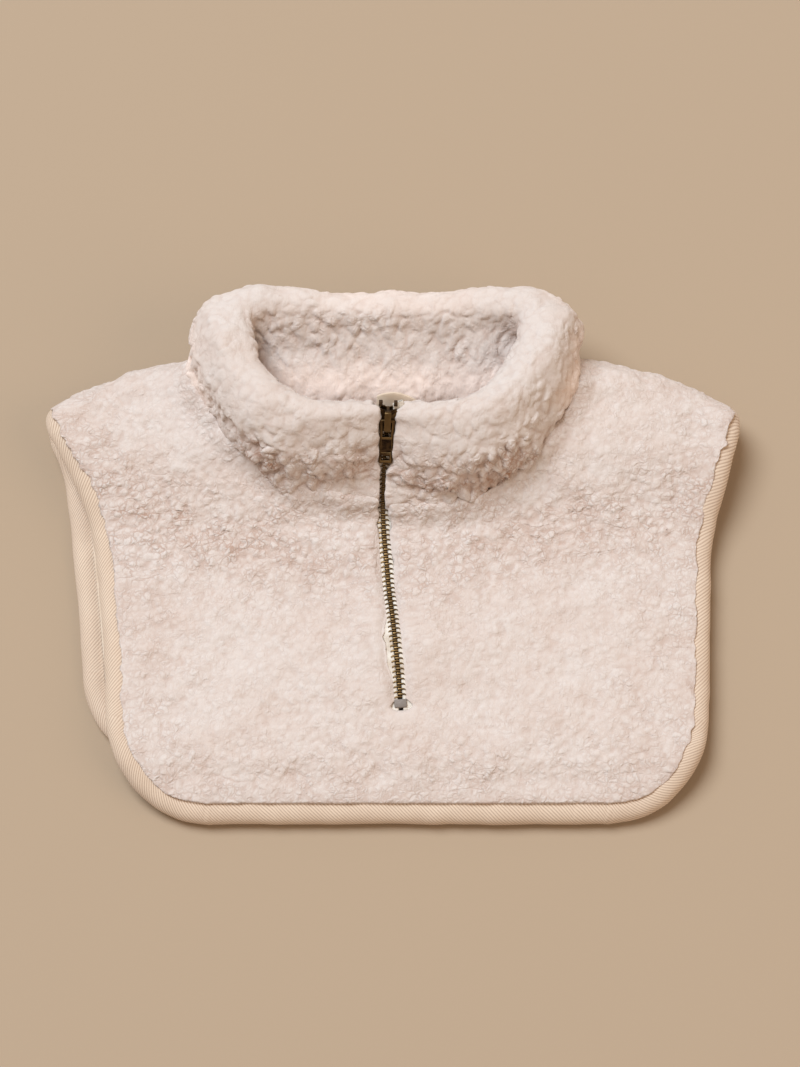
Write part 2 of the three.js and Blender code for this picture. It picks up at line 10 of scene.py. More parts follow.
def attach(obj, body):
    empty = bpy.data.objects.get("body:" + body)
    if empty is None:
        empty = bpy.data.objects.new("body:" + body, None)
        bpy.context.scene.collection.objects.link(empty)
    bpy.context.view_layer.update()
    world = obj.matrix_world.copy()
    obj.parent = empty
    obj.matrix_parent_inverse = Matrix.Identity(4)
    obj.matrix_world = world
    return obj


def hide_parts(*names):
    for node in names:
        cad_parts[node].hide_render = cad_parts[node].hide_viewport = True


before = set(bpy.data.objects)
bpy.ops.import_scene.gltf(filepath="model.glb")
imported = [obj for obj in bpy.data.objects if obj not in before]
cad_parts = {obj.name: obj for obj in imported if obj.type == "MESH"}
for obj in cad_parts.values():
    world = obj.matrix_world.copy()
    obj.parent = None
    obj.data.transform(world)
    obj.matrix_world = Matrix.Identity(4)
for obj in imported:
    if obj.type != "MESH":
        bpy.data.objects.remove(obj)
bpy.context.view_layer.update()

mm = 0.001


# View

view = {
    "target": (0.00425, 0.013, 0.012),
    "elevation": 70,
    "distance": 1.4,
    "lens": 94.5,
}


def addToScene(name, data):
    item = bpy.data.objects.new(name, data)
    bpy.context.scene.collection.objects.link(item)
    return item


def addCamera():
    data = bpy.data.cameras.new("camera")
    data.lens = view["lens"]
    tilt = math.radians(90 - view["elevation"])
    camera = addToScene("camera", data)
    camera.rotation_euler = (tilt, 0, 0)
    away = Vector((0, -math.sin(tilt), math.cos(tilt)))
    camera.location = Vector(view["target"]) + away * view["distance"]
    bpy.context.scene.camera = camera


addCamera()
print("camera set")


# Shader helpers

def paint(red, green, blue):
    # A given colour, 0 to 255, as the shader wants it
    parts = [part / 255 for part in (red, green, blue)]
    parts = [part / 12.92 if part < 0.04 else ((part + 0.055) / 1.055) ** 2.4 for part in parts]
    return (*parts, 1)


def addNode(tree, kind, inputs=None, **settings):
    item = tree.nodes.new("ShaderNode" + kind)
    for key, value in settings.items():
        setattr(item, key, value)
    for key, value in (inputs or {}).items():
        socket = item.inputs[key]
        if isinstance(value, bpy.types.NodeSocket):
            tree.links.new(value, socket)
        else:
            socket.default_value = value
    return item


def startMaterial(name, **shader):
    material = bpy.data.materials.new(name)
    material.use_nodes = True
    tree = material.node_tree
    surface = tree.nodes["Principled BSDF"]
    for key, value in shader.items():
        surface.inputs[key.replace("_", " ")].default_value = value
    return material, tree, surface


def attribute(tree, name):
    return addNode(tree, "Attribute", attribute_name=name).outputs["Fac"]


def places(tree):
    return addNode(tree, "TexCoord").outputs["Object"]


def maths(tree, operation, first, second=0.0):
    return addNode(tree, "Math", {0: first, 1: second}, operation=operation).outputs[0]


def times(tree, first, second):
    return maths(tree, "MULTIPLY", first, second)


def stretched(tree, place, amounts):
    # The same places with each axis made longer or shorter
    return addNode(tree, "VectorMath", {0: place, 1: amounts}, operation="MULTIPLY").outputs[0]


def noise(tree, vector, scale, detail=2.0, roughness=0.5):
    inputs = {"Vector": vector, "Scale": scale, "Detail": detail, "Roughness": roughness}
    return addNode(tree, "TexNoise", inputs).outputs["Fac"]


def spread(tree, value, low, high, first=0.0, last=1.0):
    # Stretches part of a value's range over a new one
    inputs = {"Value": value, "From Min": low, "From Max": high, "To Min": first, "To Max": last}
    return addNode(tree, "MapRange", inputs).outputs["Result"]


def blendColours(tree, factor, first, second):
    return addNode(tree, "Mix", {0: factor, 6: first, 7: second}, data_type="RGBA").outputs[2]


def stripes(tree, place, every, distortion, direction):
    # Threads a number of mm apart: at scale 1 the bands would be 0.314 apart
    inputs = {"Vector": place, "Scale": 0.314 / (every * mm), "Distortion": distortion}
    return addNode(tree, "TexWave", inputs, bands_direction=direction).outputs["Fac"]


def bump(tree, height, strength, distance, after=None):
    inputs = {"Height": height, "Strength": strength, "Distance": distance * mm}
    if after is not None:
        inputs["Normal"] = after
    return addNode(tree, "Bump", inputs).outputs["Normal"]


# Floor and lights

studio = {
    "floor": (181, 161, 138),
    "floorSize": 6,
    "air": (255, 231, 208),
    "airStrength": 0.38,
    # Name: place, size, power, colour
    "lamps": {
        "windowLight": ((-2.6, 2.3, 6.4), 4.6, 515, (238, 247, 255)),
        "wallLight": ((2.4, -0.9, 1.9), 2.4, 21, (255, 226, 196)),
    },
}


def addFloor():
    half = studio["floorSize"] / 2
    corners = [(-half, -half, 0), (half, -half, 0), (half, half, 0), (-half, half, 0)]
    mesh = bpy.data.meshes.new("floor")
    mesh.from_pydata(corners, [], [(0, 1, 2, 3)])
    floor = addToScene("floor", mesh)
    material, _, surface = startMaterial("floorPaint", Roughness=0.9)
    surface.inputs["Base Color"].default_value = paint(*studio["floor"])
    mesh.materials.append(material)


def addAir():
    world = bpy.data.worlds.new("studioAir")
    bpy.context.scene.world = world
    world.use_nodes = True
    air = world.node_tree.nodes["Background"]
    air.inputs["Color"].default_value = paint(*studio["air"])
    air.inputs["Strength"].default_value = studio["airStrength"]


def addLamps():
    for name, (place, size, power, colour) in studio["lamps"].items():
        data = bpy.data.lights.new(name, "AREA")
        data.shape = "DISK"
        data.size = size
        data.energy = power
        data.color = paint(*colour)[:3]
        lamp = addToScene(name, data)
        lamp.location = place
        towards = Vector(view["target"]) - Vector(place)
        lamp.rotation_euler = towards.to_track_quat("-Z", "Y").to_euler()


addFloor()
addAir()
addLamps()
bpy.context.scene.view_settings.view_transform = "Standard"
print("floor and lights set")


# Mesh helpers

def readPoints(mesh):
    points = np.empty(len(mesh.vertices) * 3)
    mesh.vertices.foreach_get("co", points)
    return points.reshape(-1, 3)


def readNormals(mesh):
    normals = np.empty(len(mesh.vertices) * 3)
    mesh.vertex_normals.foreach_get("vector", normals)
    return normals.reshape(-1, 3)


def writePoints(mesh, points):
    mesh.vertices.foreach_set("co", points.ravel())
    mesh.update()


def writeAttribute(mesh, name, values):
    mesh.attributes.new(name, "FLOAT", "POINT").data.foreach_set("value", values.astype(np.float32))


def makePiece(name, mesh, material, nodes, body="garment"):
    piece = addToScene(name, mesh)
    mesh.materials.clear()
    mesh.materials.append(material)
    mesh.shade_smooth()
    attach(piece, body)
    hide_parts(*nodes)
    print(name, "made,", sum(len(face.vertices) - 2 for face in mesh.polygons), "triangles")
    return piece


def smoothstep(values, low, high):
    share = np.clip((values - low) / (high - low), 0, 1)
    return share * share * (3 - 2 * share)


def unit(vectors):
    return vectors / np.maximum(np.linalg.norm(vectors, axis=-1, keepdims=True), 1e-12)


def wander(points, size, seed):
    # Soft random hills between -1 and 1, about one size across (points in metres, size in mm)
    cells = 32
    table = np.random.default_rng(seed).uniform(-1, 1, (cells, cells, cells))
    scaled = points / (size * mm) + 1000
    corner = np.floor(scaled).astype(int)
    share = scaled - corner
    share = share * share * (3 - 2 * share)
    total = np.zeros(len(points))
    for step in np.ndindex(2, 2, 2):
        weight = np.prod(np.where(step, share, 1 - share), axis=1)
        total += weight * table[tuple(((corner + step) % cells).T)]
    return total


def wanderSum(points, hills, seed):
    # Hills of several sizes, each given as size and height in mm
    return sum(high * wander(points, size, seed + size) for size, high in hills)


def treeOf(points):
    tree = kdtree.KDTree(len(points))
    for index, point in enumerate(points):
        tree.insert(point, index)
    tree.balance()
    return tree


def nearest(tree, points):
    return np.array([tree.find(point)[2] for point in points]) / mm


def along(rows, where, closed):
    # Points at broken row numbers on smooth curves through rows of points
    count = len(rows)
    first = np.floor(where).astype(int)
    share = (where - first).reshape((-1,) + (1,) * (rows.ndim - 1))

    def pick(step):
        index = first + step
        return rows[index % count if closed else np.clip(index, 0, count - 1)]

    before, here, there, after = [pick(step) for step in (-1, 0, 1, 2)]
    curve = 2 * here + (there - before) * share
    curve += (2 * before - 5 * here + 4 * there - after) * share**2
    curve += (3 * here - before - 3 * there + after) * share**3
    return curve / 2


def tubeFaces(rings, points, closed):
    ring = np.arange(rings if closed else rings - 1)[:, None]
    point = np.arange(points)[None, :]
    following = (ring + 1) % rings * points
    after = (point + 1) % points
    corners = [ring * points + point, ring * points + after, following + after, following + point]
    return np.stack(corners, -1).reshape(-1, 4).tolist()


def tubeMesh(name, rows, closed=False):
    rings, points = rows.shape[:2]
    faces = tubeFaces(rings, points, closed)
    if not closed:
        faces.append(list(range(points))[::-1])
        faces.append([(rings - 1) * points + point for point in range(points)])
    mesh = bpy.data.meshes.new(name)
    mesh.from_pydata(rows.reshape(-1, 3).tolist(), [], faces)
    turnOutwards(mesh)
    return mesh


def intoMesh(shape, mesh):
    shape.to_mesh(mesh)
    shape.free()
    return mesh


def turnOutwards(mesh):
    shape = bmesh.new()
    shape.from_mesh(mesh)
    bmesh.ops.recalc_face_normals(shape, faces=shape.faces)
    intoMesh(shape, mesh)


def copyOfNode(node):
    shape = bmesh.new()
    shape.from_mesh(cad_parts[node].data)
    bmesh.ops.remove_doubles(shape, verts=shape.verts, dist=1e-6)
    return shape


def appliedModifiers(mesh, *steps):
    # Runs modifiers over the mesh and returns the result as a new mesh
    item = addToScene("work", mesh)
    for kind, settings in steps:
        modifier = item.modifiers.new(kind, kind)
        for key, value in settings.items():
            setattr(modifier, key, value)
    finished = bpy.data.meshes.new_from_object(item.evaluated_get(bpy.context.evaluated_depsgraph_get()))
    bpy.data.objects.remove(item)
    return finished


def softened(name, node, voxel, passes):
    # A node's shape as a fine, even mesh with its edges softened
    mesh = intoMesh(copyOfNode(node), bpy.data.meshes.new(name))
    return appliedModifiers(
        mesh,
        ("REMESH", {"mode": "VOXEL", "voxel_size": voxel * mm}),
        ("SMOOTH", {"factor": 0.5, "iterations": passes}),
    )


# Paths that the pieces share, read from the frame

def around(corner, turns):
    for _ in range(turns):
        corner = corner.link_loop_prev.link_loop_radial_next
    return corner


def walk(corner):
    # Straight on over a mesh whose every point has six edges, until back at the start
    line = [corner]
    while True:
        corner = around(corner.link_loop_radial_next, 3)
        if corner.vert == line[0].vert:
            return line
        line.append(corner)


def lineLength(line):
    return sum(corner.edge.calc_length() for corner in line)


def readTube(node):
    # A closed tube's rings of points, in order
    shape = copyOfNode(node)
    shape.verts.ensure_lookup_table()
    first = shape.verts[0].link_loops[0]
    lengths = [lineLength(walk(around(first, turns))) for turns in range(3)]
    order = sorted(range(3), key=lambda turns: lengths[turns])
    column = walk(around(first, order[1]))
    turns = (order[0] - order[1]) % 6
    rings = np.array([[corner.vert.co for corner in walk(around(step, turns))] for step in column])
    shape.free()
    return rings


def readBinding():
    # Each ring as fold, inner edge and outward side, travelling to the right along the bottom
    rings = readTube("edge_binding")
    count = rings.shape[1]
    sides = np.linalg.norm(np.roll(rings, -1, axis=1) - rings, axis=2).sum(axis=0)
    # The two longest sides lie against the cloth inside, with a short one between them
    start = max(range(count), key=lambda side: sides[side] + sides[(side + 2) % count])
    rings = np.roll(rings, -(start + 3), axis=1)
    fold = (rings[:, 3] + rings[:, 4]) / 2
    inner = (rings[:, 1] + rings[:, 6]) / 2
    out = unit(rings[:, 1] - rings[:, 6])
    lowest = int(np.argmin(fold[:, 1]))
    if out[lowest, 2] < 0:
        out = -out
    if fold[(lowest + 1) % len(fold), 0] < fold[lowest, 0]:
        fold, inner, out = fold[::-1], inner[::-1], out[::-1]
    return np.stack([fold, inner, out], axis=1)


def pointsOfNode(node):
    shape = copyOfNode(node)
    points = np.array([vert.co for vert in shape.verts])
    shape.free()
    return points


def readChain():
    # The middle of the chain from its upper end down, between the inner edges of the two tapes
    tree = treeOf(pointsOfNode("zip_tape_right"))
    # Only points on the inner edge of a tape have the other tape within this distance
    reach = 12.5 * mm
    found = [(point, tree.find(point)) for point in pointsOfNode("zip_tape_left")]
    middles = [(point + np.array(hit[0])) / 2 for point, hit in found if hit[2] < reach]
    middles = np.array(sorted(middles, key=lambda point: -point[1]))
    return (middles[::2] + middles[1::2]) / 2


def chainFrames(distances):
    # Middle, across, up and onward at distances in mm from the chain's upper end
    steps = np.linalg.norm(np.diff(chainPath, axis=0), axis=1) / mm
    marks = np.concatenate([[0], np.cumsum(steps)])
    where = np.interp(distances, marks, np.arange(len(marks)))
    middle = along(chainPath, where, False)
    # The direction is read a little before and after each place
    step = 0.05
    onward = unit(along(chainPath, where + step, False) - along(chainPath, where - step, False))
    across = unit(np.array((1, 0, 0)) - onward * onward[:, :1])
    return middle, across, np.cross(onward, across), onward


def chainLength():
    return np.linalg.norm(np.diff(chainPath, axis=0), axis=1).sum() / mm


def beside(points):
    # Distance along the chain, across it and above it for each point, in mm, with both directions
    middle, across, up, _ = chainFrames(chainMarks)
    index = np.array([chainTree.find(point)[1] for point in points])
    offset = (points - middle[index]) / mm
    aside = np.sum(offset * across[index], axis=1)
    rise = np.sum(offset * up[index], axis=1)
    return chainMarks[index], aside, rise, across[index], up[index]


def distanceTo(surface, points):
    return np.array([surface.find_nearest(point)[3] for point in points]) / mm


bindingPath = readBinding()
chainPath = readChain()
bindingMarks = np.arange(0, len(bindingPath), 0.1)
bindingLine = along(bindingPath[:, 0], bindingMarks, True)
bindingOut = unit(along(bindingPath[:, 2], bindingMarks, True))
frontHem = np.flatnonzero(bindingOut[:, 2] > -0.2)
backHem = np.flatnonzero(bindingOut[:, 2] < 0.2)
frontHemTree, backHemTree = treeOf(bindingLine[frontHem]), treeOf(bindingLine[backHem])
chainMarks = np.arange(0, chainLength(), 0.5)
chainTree = treeOf(chainFrames(chainMarks)[0])
collarSurface = BVHTree.FromBMesh(copyOfNode("collar"))
frontSurface = BVHTree.FromBMesh(copyOfNode("front_panel"))
print("binding", len(bindingPath), "rings, chain", len(chainPath), "points")


# Pile fleece

fleece = {
    "tips": (225, 216, 211),
    "blush": (217, 201, 192),
    # Painted shade: the colour that low pile, creases, curl gaps and partings are darkened towards
    "shadeColour": (172, 130, 106),
    # Painted light: the paler colour inside the neck, where light falls into the opening
    "paintedLight": (250, 233, 224),
    # How much blush comes in patches, and how much lock by lock
    "patchBlush": 0.4,
    "lockBlush": 0.3,
    # How much painted shade darkens the pile low down, and between two locks
    "lowShadeAmount": 0.45,
    "creaseShadeAmount": 0.6,
    # Small curls: size across, how far they wander, how high they stand, how much painted shade their gaps
    # get
    "curlSize": 3.6,
    "curlDrift": 5,
    "curlHigh": 0.58,
    "gapShadeAmount": 0.64,
    # Lines where tufts part: how much painted shade they get, and how deep they are
    "partingShadeAmount": 0.45,
    "partingDeep": 0.35,
    # Fine fuzz: size across, how far it wanders, how high it stands
    "fuzzSize": 0.9,
    "fuzzDrift": 4,
    "fuzzHigh": 0.45,
}


def drifted(tree, place, scale, reach):
    # The same places, pushed about at random
    drift = addNode(tree, "TexNoise", {"Vector": place, "Scale": scale, "Detail": 2.0}).outputs["Color"]
    drift = addNode(tree, "VectorMath", {0: drift, 1: (0.5, 0.5, 0.5)}, operation="SUBTRACT").outputs[0]
    drift = addNode(tree, "VectorMath", {0: drift, 3: reach * mm}, operation="SCALE").outputs[0]
    return addNode(tree, "VectorMath", {0: place, 1: drift}, operation="ADD").outputs[0]


def fleecePatterns(tree, place):
    # What the colour and the relief share
    relief = attribute(tree, "curlRelief")
    cells = {"Vector": drifted(tree, place, 260.0, fleece["curlDrift"]), "Scale": 1000 / fleece["curlSize"]}
    tufts = noise(tree, stretched(tree, place, (0.6, 1.5, 1.2)), 80, 3, 0.45)
    patches = spread(tree, noise(tree, place, 45), 0.47, 0.6)
    return {
        "relief": relief,
        "edge": addNode(tree, "TexVoronoi", cells, feature="DISTANCE_TO_EDGE").outputs["Distance"],
        "broken": spread(tree, noise(tree, place, 110), 0.36, 0.62, 0.3, 1.0),
        "tufts": maths(tree, "ABSOLUTE", maths(tree, "SUBTRACT", tufts, 0.5)),
        "parted": times(tree, patches, spread(tree, relief, 0.55, 0.8)),
    }


def fleeceColour(tree, place, pattern):
    patches = times(tree, spread(tree, noise(tree, place, 38), 0.38, 0.66), fleece["patchBlush"])
    locks = times(tree, attribute(tree, "lockTone"), fleece["lockBlush"])
    blush = maths(tree, "ADD", patches, locks)
    tips = blendColours(tree, blush, paint(*fleece["tips"]), paint(*fleece["blush"]))
    # Painted light inside the neck
    tips = blendColours(tree, attribute(tree, "paintedLightShare"), tips, paint(*fleece["paintedLight"]))
    # Painted shade low in the pile, between locks, in the curls' gaps and along partings
    low = times(tree, spread(tree, attribute(tree, "pileHeight"), 0.6, 0.1), fleece["lowShadeAmount"])
    creaseShade = times(tree, attribute(tree, "lockCreaseShade"), fleece["creaseShadeAmount"])
    curly = times(tree, times(tree, pattern["relief"], pattern["relief"]), pattern["broken"])
    gapShade = times(tree, spread(tree, pattern["edge"], 0.17, 0.0), curly)
    gapShade = times(tree, gapShade, fleece["gapShadeAmount"])
    partings = times(tree, pattern["parted"], fleece["partingShadeAmount"])
    partings = times(tree, spread(tree, pattern["tufts"], 0.026, 0.004), partings)
    # The strongest painted shade at each place darkens the colour towards the shade colour
    dark = low
    for other in (creaseShade, gapShade, partings):
        dark = maths(tree, "MAXIMUM", dark, other)
    return blendColours(tree, dark, tips, paint(*fleece["shadeColour"]))


def fleeceRelief(tree, place, pattern):
    inputs = {"Value": pattern["edge"], "From Min": 0.0, "From Max": 0.52}
    puffs = addNode(tree, "MapRange", inputs, interpolation_type="SMOOTHSTEP").outputs["Result"]
    shown = times(tree, pattern["relief"], pattern["broken"])
    puffs = times(tree, maths(tree, "POWER", puffs, 0.7), shown)
    normal = bump(tree, puffs, 1.0, fleece["curlHigh"])
    partings = times(tree, spread(tree, pattern["tufts"], 0.04, 0.0), pattern["parted"])
    normal = bump(tree, times(tree, partings, -1.0), 0.6, fleece["partingDeep"], normal)
    strandPlace = drifted(tree, stretched(tree, place, (1.0, 0.42, 0.42)), 220.0, fleece["fuzzDrift"])
    strands = noise(tree, strandPlace, 1000 / fleece["fuzzSize"], 3, 0.6)
    return bump(tree, strands, 0.6, fleece["fuzzHigh"], normal)


def makeFleece():
    material, tree, surface = startMaterial(
        "pileFleece", Roughness=1.0, Sheen_Weight=0.28, Sheen_Roughness=0.55, Specular_IOR_Level=0.15
    )
    place = places(tree)
    pattern = fleecePatterns(tree, place)
    tree.links.new(fleeceColour(tree, place, pattern), surface.inputs["Base Color"])
    tree.links.new(fleeceRelief(tree, place, pattern), surface.inputs["Normal"])
    return material


fleeceMaterial = makeFleece()


def hemCover(tree, points):
    # The pile ends where the binding lies over the cloth
    return smoothstep(nearest(tree, points), 9.5, 11.5)


def frontCover(points, normals):
    return smoothstep(normals[:, 2], -0.5, 0) * hemCover(frontHemTree, points)


def backCover(points, normals):
    inNeck = smoothstep(points[:, 1], 74 * mm, 79 * mm) * smoothstep(normals[:, 2], 0, 0.5)
    outside = smoothstep(normals[:, 2], 0.3, -0.1) * smoothstep(points[:, 2], 0.5 * mm, 4 * mm)
    return np.maximum(inNeck, outside) * hemCover(backHemTree, points)


def everywhere(points, normals):
    return np.ones(len(points))


def restAsIs(points, normals):
    return points


frontForm = {
    # How far the pile rises against the collar, and how much less of that on the right
    "swell": 6,
    "lessOnRight": 0.35,
    # How much the curls stand out, which also sets the painted shade in their gaps: everywhere, near the
    # hem, in the curly band and beside the collar. The band's curls are partly real and partly painted
    # shade for the shaded fold below the collar
    "plainCurls": 0.5,
    "hemCurls": 0.26,
    "bandCurlsAndShade": 0.56,
    "collarCurls": 0.2,
    # The band's lowest point, how it bends up to both sides and half of its width
    "bandLowest": -2,
    "bandBend": 0.00125,
    "bandHalf": 23,
}


def riseAtCollar(points, normals):
    # The bib's pile swells against the collar, so that no gap shows
    points = points.copy()
    swell = smoothstep(distanceTo(collarSurface, points), 12, 0) * smoothstep(normals[:, 2], 0, 0.6)
    swell *= 1 - frontForm["lessOnRight"] * smoothstep(points[:, 0], 25 * mm, 55 * mm)
    points[:, 2] += frontForm["swell"] * mm * swell
    return points


def frontRelief(points, normals):
    # Low and soft, with a curly band that runs below the collar and up to both sides, whose curl gaps carry
    # painted shade for the shaded fold there
    x, y = (points[:, :2] / mm).T
    drift = 7 * wander(points, 22, 5) + 4 * wander(points, 9, 6)
    edge = smoothstep(nearest(frontHemTree, points) + 2 * drift, 65, 8)
    middle = frontForm["bandBend"] * x**2 + frontForm["bandLowest"]
    band = np.exp(-(((y + drift - middle) / frontForm["bandHalf"]) ** 2))
    band *= 0.75 + 0.25 * smoothstep(-x, 20, 100)
    near = smoothstep(distanceTo(collarSurface, points), 16, 6)
    relief = frontForm["plainCurls"] + frontForm["hemCurls"] * edge * (1 - band)
    relief += frontForm["bandCurlsAndShade"] * band
    return relief + frontForm["collarCurls"] * near * (1 - band)


collarForm = {
    # How far its foot swells against the bib on the right, and how much more elsewhere
    "footSwell": 1.5,
    "footSwellMore": 2.5,
    # How far its two back corners stand out, and how far its right side leans over the neck
    "cornersOut": 7,
    "rightLean": 8,
    # How far its back sags forward inside the neck, and how far that lifts it
    "backSag": 24,
    "backLift": 5,
    # How much the curls stand out, which also sets the painted shade in their gaps: on the rim, down the
    # sides, in the folds and low on the front. The sides, the folds and the low front lie in shade, so
    # their extra curls are partly painted shade
    "rimCurls": 0.4,
    "sideCurlsAndShade": 0.45,
    "foldCurlsAndShade": 0.3,
    "lowCurlsAndShade": 0.75,
}


def slumpInside(points, normals):
    # Its foot swells against the bib, least on the right
    more = smoothstep(points[:, 0], 50 * mm, 20 * mm)
    swell = collarForm["footSwell"] + collarForm["footSwellMore"] * more
    foot = smoothstep(distanceTo(frontSurface, points), 12, 1)
    points = points + normals * (swell * mm * foot)[:, None]
    x, y, z = (points / mm).T
    # It stands out at its two back corners, and its right side leans inwards over the neck
    outer = smoothstep(np.sign(x) * normals[:, 0], -0.2, 0.3) * smoothstep(z, 12, 30)
    push = np.sign(x) * collarForm["cornersOut"] * mm * outer
    points[:, 0] += push * smoothstep(abs(x), 45, 80) * smoothstep(y, 98, 118)
    tipping = np.exp(-(((y - 64) / 30) ** 2)) * smoothstep(x, 20, 50) * smoothstep(z, 34, 54)
    points[:, 0] -= collarForm["rightLean"] * mm * tipping
    # Its back sags forward inside the neck
    inside = smoothstep(-normals[:, 1], 0, 0.5) * smoothstep(y, 78, 86)
    high = np.exp(-(((z - 20) / 17) ** 2)) * smoothstep(80 - abs(x), 0, 30)
    points[:, 1] -= collarForm["backSag"] * mm * inside * high
    points[:, 2] += collarForm["backLift"] * mm * inside * high
    return points


def insideNeck(points, normals):
    # Where the pile faces the opening from its back or its right side; painted light goes there
    rightSide = -normals[:, 0] * (points[:, 0] > 0)
    facing = smoothstep(np.maximum(rightSide, np.maximum(-normals[:, 1], normals[:, 2])), 0, 0.5)
    return facing * smoothstep(points[:, 1], 62 * mm, 80 * mm) * smoothstep(points[:, 2], 58 * mm, 40 * mm)


def inShadedFolds(points, normals):
    # The left end of the opening and the strip below the back rim, where the pile parts and lies in shade;
    # its curls there carry painted shade, and it gets no painted light
    x, y, z = (points / mm).T
    leftEnd = smoothstep(normals[:, 0], 0.1, 0.5) * smoothstep(-x, 28, 45) * smoothstep(-x, 80, 68)
    belowRim = smoothstep(-normals[:, 1], 0.1, 0.5) * smoothstep(y, 84, 96) * smoothstep(z, 30, 38)
    return np.maximum(leftEnd, belowRim) * smoothstep(z, 56, 50)


def collarRelief(points, normals):
    # Soft on the rim, curlier down the sides, most of all low on the front; the extra curls there and in
    # the folds carry painted shade in their gaps, where the collar is in shade
    sides = smoothstep(normals[:, 2], 0.8, 0.2)
    low = smoothstep(points[:, 1], 58 * mm, 44 * mm) * smoothstep(points[:, 2], 59 * mm, 50 * mm)
    relief = collarForm["rimCurls"] + collarForm["sideCurlsAndShade"] * sides
    relief += collarForm["foldCurlsAndShade"] * inShadedFolds(points, normals)
    relief += collarForm["lowCurlsAndShade"] * low * (0.5 + 0.5 * sides)
    return relief * (1 + 0.3 * wander(points, 16, 4))


zipEdge = {
    # Half of the gap between the pile's two edges over the zip, at distances along the chain
    "left": (
        (0, 5, 7, 12, 16, 30, 34, 62, 112, 121, 139, 147),
        (2.8, 2.8, 4.3, 4.3, 3.2, 3.2, 2.1, 2.1, 2.2, 4.6, 4.8, 2.4),
    ),
    "right": (
        (0, 5, 7, 12, 16, 30, 35, 56, 64, 120, 140, 154),
        (2.6, 2.6, 4.3, 4.3, 3.6, 3.6, 1.3, 1.3, 2.0, 2.0, 3.2, 2),
    ),
    # How far the pile leans, and how far from the chain that starts and is whole
    "lean": 7.4,
    "reach": (15, 6),
    # How much is added to both along the lower half of the zip
    "leanLow": 1.4,
    "reachLow": 3,
}


def leanToZip(points):
    # The pile leans over the tapes, with a more ragged edge on the collar than on the bib
    mark, aside, rise, across, up = beside(points)
    away = abs(aside)
    room = np.where(aside < 0, np.interp(mark, *zipEdge["left"]), np.interp(mark, *zipEdge["right"]))
    near = smoothstep(rise, 0.6, 1.8) * smoothstep(chainMarks[-1] - mark, 1, 8)
    ragged = 1 - 0.6 * smoothstep(mark, 55, 80)
    low = smoothstep(mark, 80, 110)
    far, close = [reach + zipEdge["reachLow"] * low for reach in zipEdge["reach"]]
    lean = (zipEdge["lean"] + zipEdge["leanLow"] * low - room) * smoothstep(away, far, close)
    lean *= (1 + 0.3 * ragged * wander(points, 3, 8)) * near
    closest = np.where(near > 0, room - 0.2 + 0.5 * ragged * wander(points, 2.5, 7), 0)
    moved = np.maximum(away - lean, np.minimum(closest, away + 2.5)) - away
    # On the bib it also slopes down to the tapes
    slope = smoothstep(away + moved - room, 5, -0.5) * smoothstep(mark, 55, 80)
    lowered = np.maximum(rise - 0.3, 0) * slope * near
    return points + across * (np.sign(aside) * moved * mm)[:, None] - up * (lowered * mm)[:, None]


hemEdge = {
    # How high the pile stands beside the binding, and how much higher at the shoulders
    "high": 4.9,
    "highShoulder": 1.2,
    # How far it leans over the binding, and what is added at the sides and at the shoulders
    "lean": 0.3,
    "leanSide": 2.9,
    "leanShoulder": 3,
    # How far from the binding's fold that starts and is whole
    "reach": (24, 13),
}


def leanToBinding(points):
    # The pile rises and leans over the binding's inner edge, most at the sides and at the shoulders
    index = frontHem[[frontHemTree.find(point)[1] for point in points]]
    out = bindingOut[index]
    inwards = (points - bindingLine[index]) / mm
    rise = np.sum(inwards * out, axis=1)
    inwards = inwards - rise[:, None] * out
    away = np.linalg.norm(inwards, axis=1)
    inwards = inwards / np.maximum(away, 1)[:, None]
    near = smoothstep(away, *hemEdge["reach"]) * smoothstep(away, 9.6, 11.2) * smoothstep(rise, -1, 0.6)
    near *= smoothstep(out[:, 2], 0.1, 0.7)
    shoulder = smoothstep(points[:, 1], 36 * mm, 60 * mm)
    wanted = hemEdge["high"] + hemEdge["highShoulder"] * shoulder + 0.5 * wander(points, 5, 9)
    raised = np.maximum(wanted - rise, 0) * near
    lean = hemEdge["lean"] + hemEdge["leanSide"] * abs(inwards[:, 0]) + hemEdge["leanShoulder"] * shoulder
    lean = lean * (1 + 0.4 * wander(points, 3.5, 9)) * near
    return points + out * (raised * mm)[:, None] - inwards * (lean * mm)[:, None]


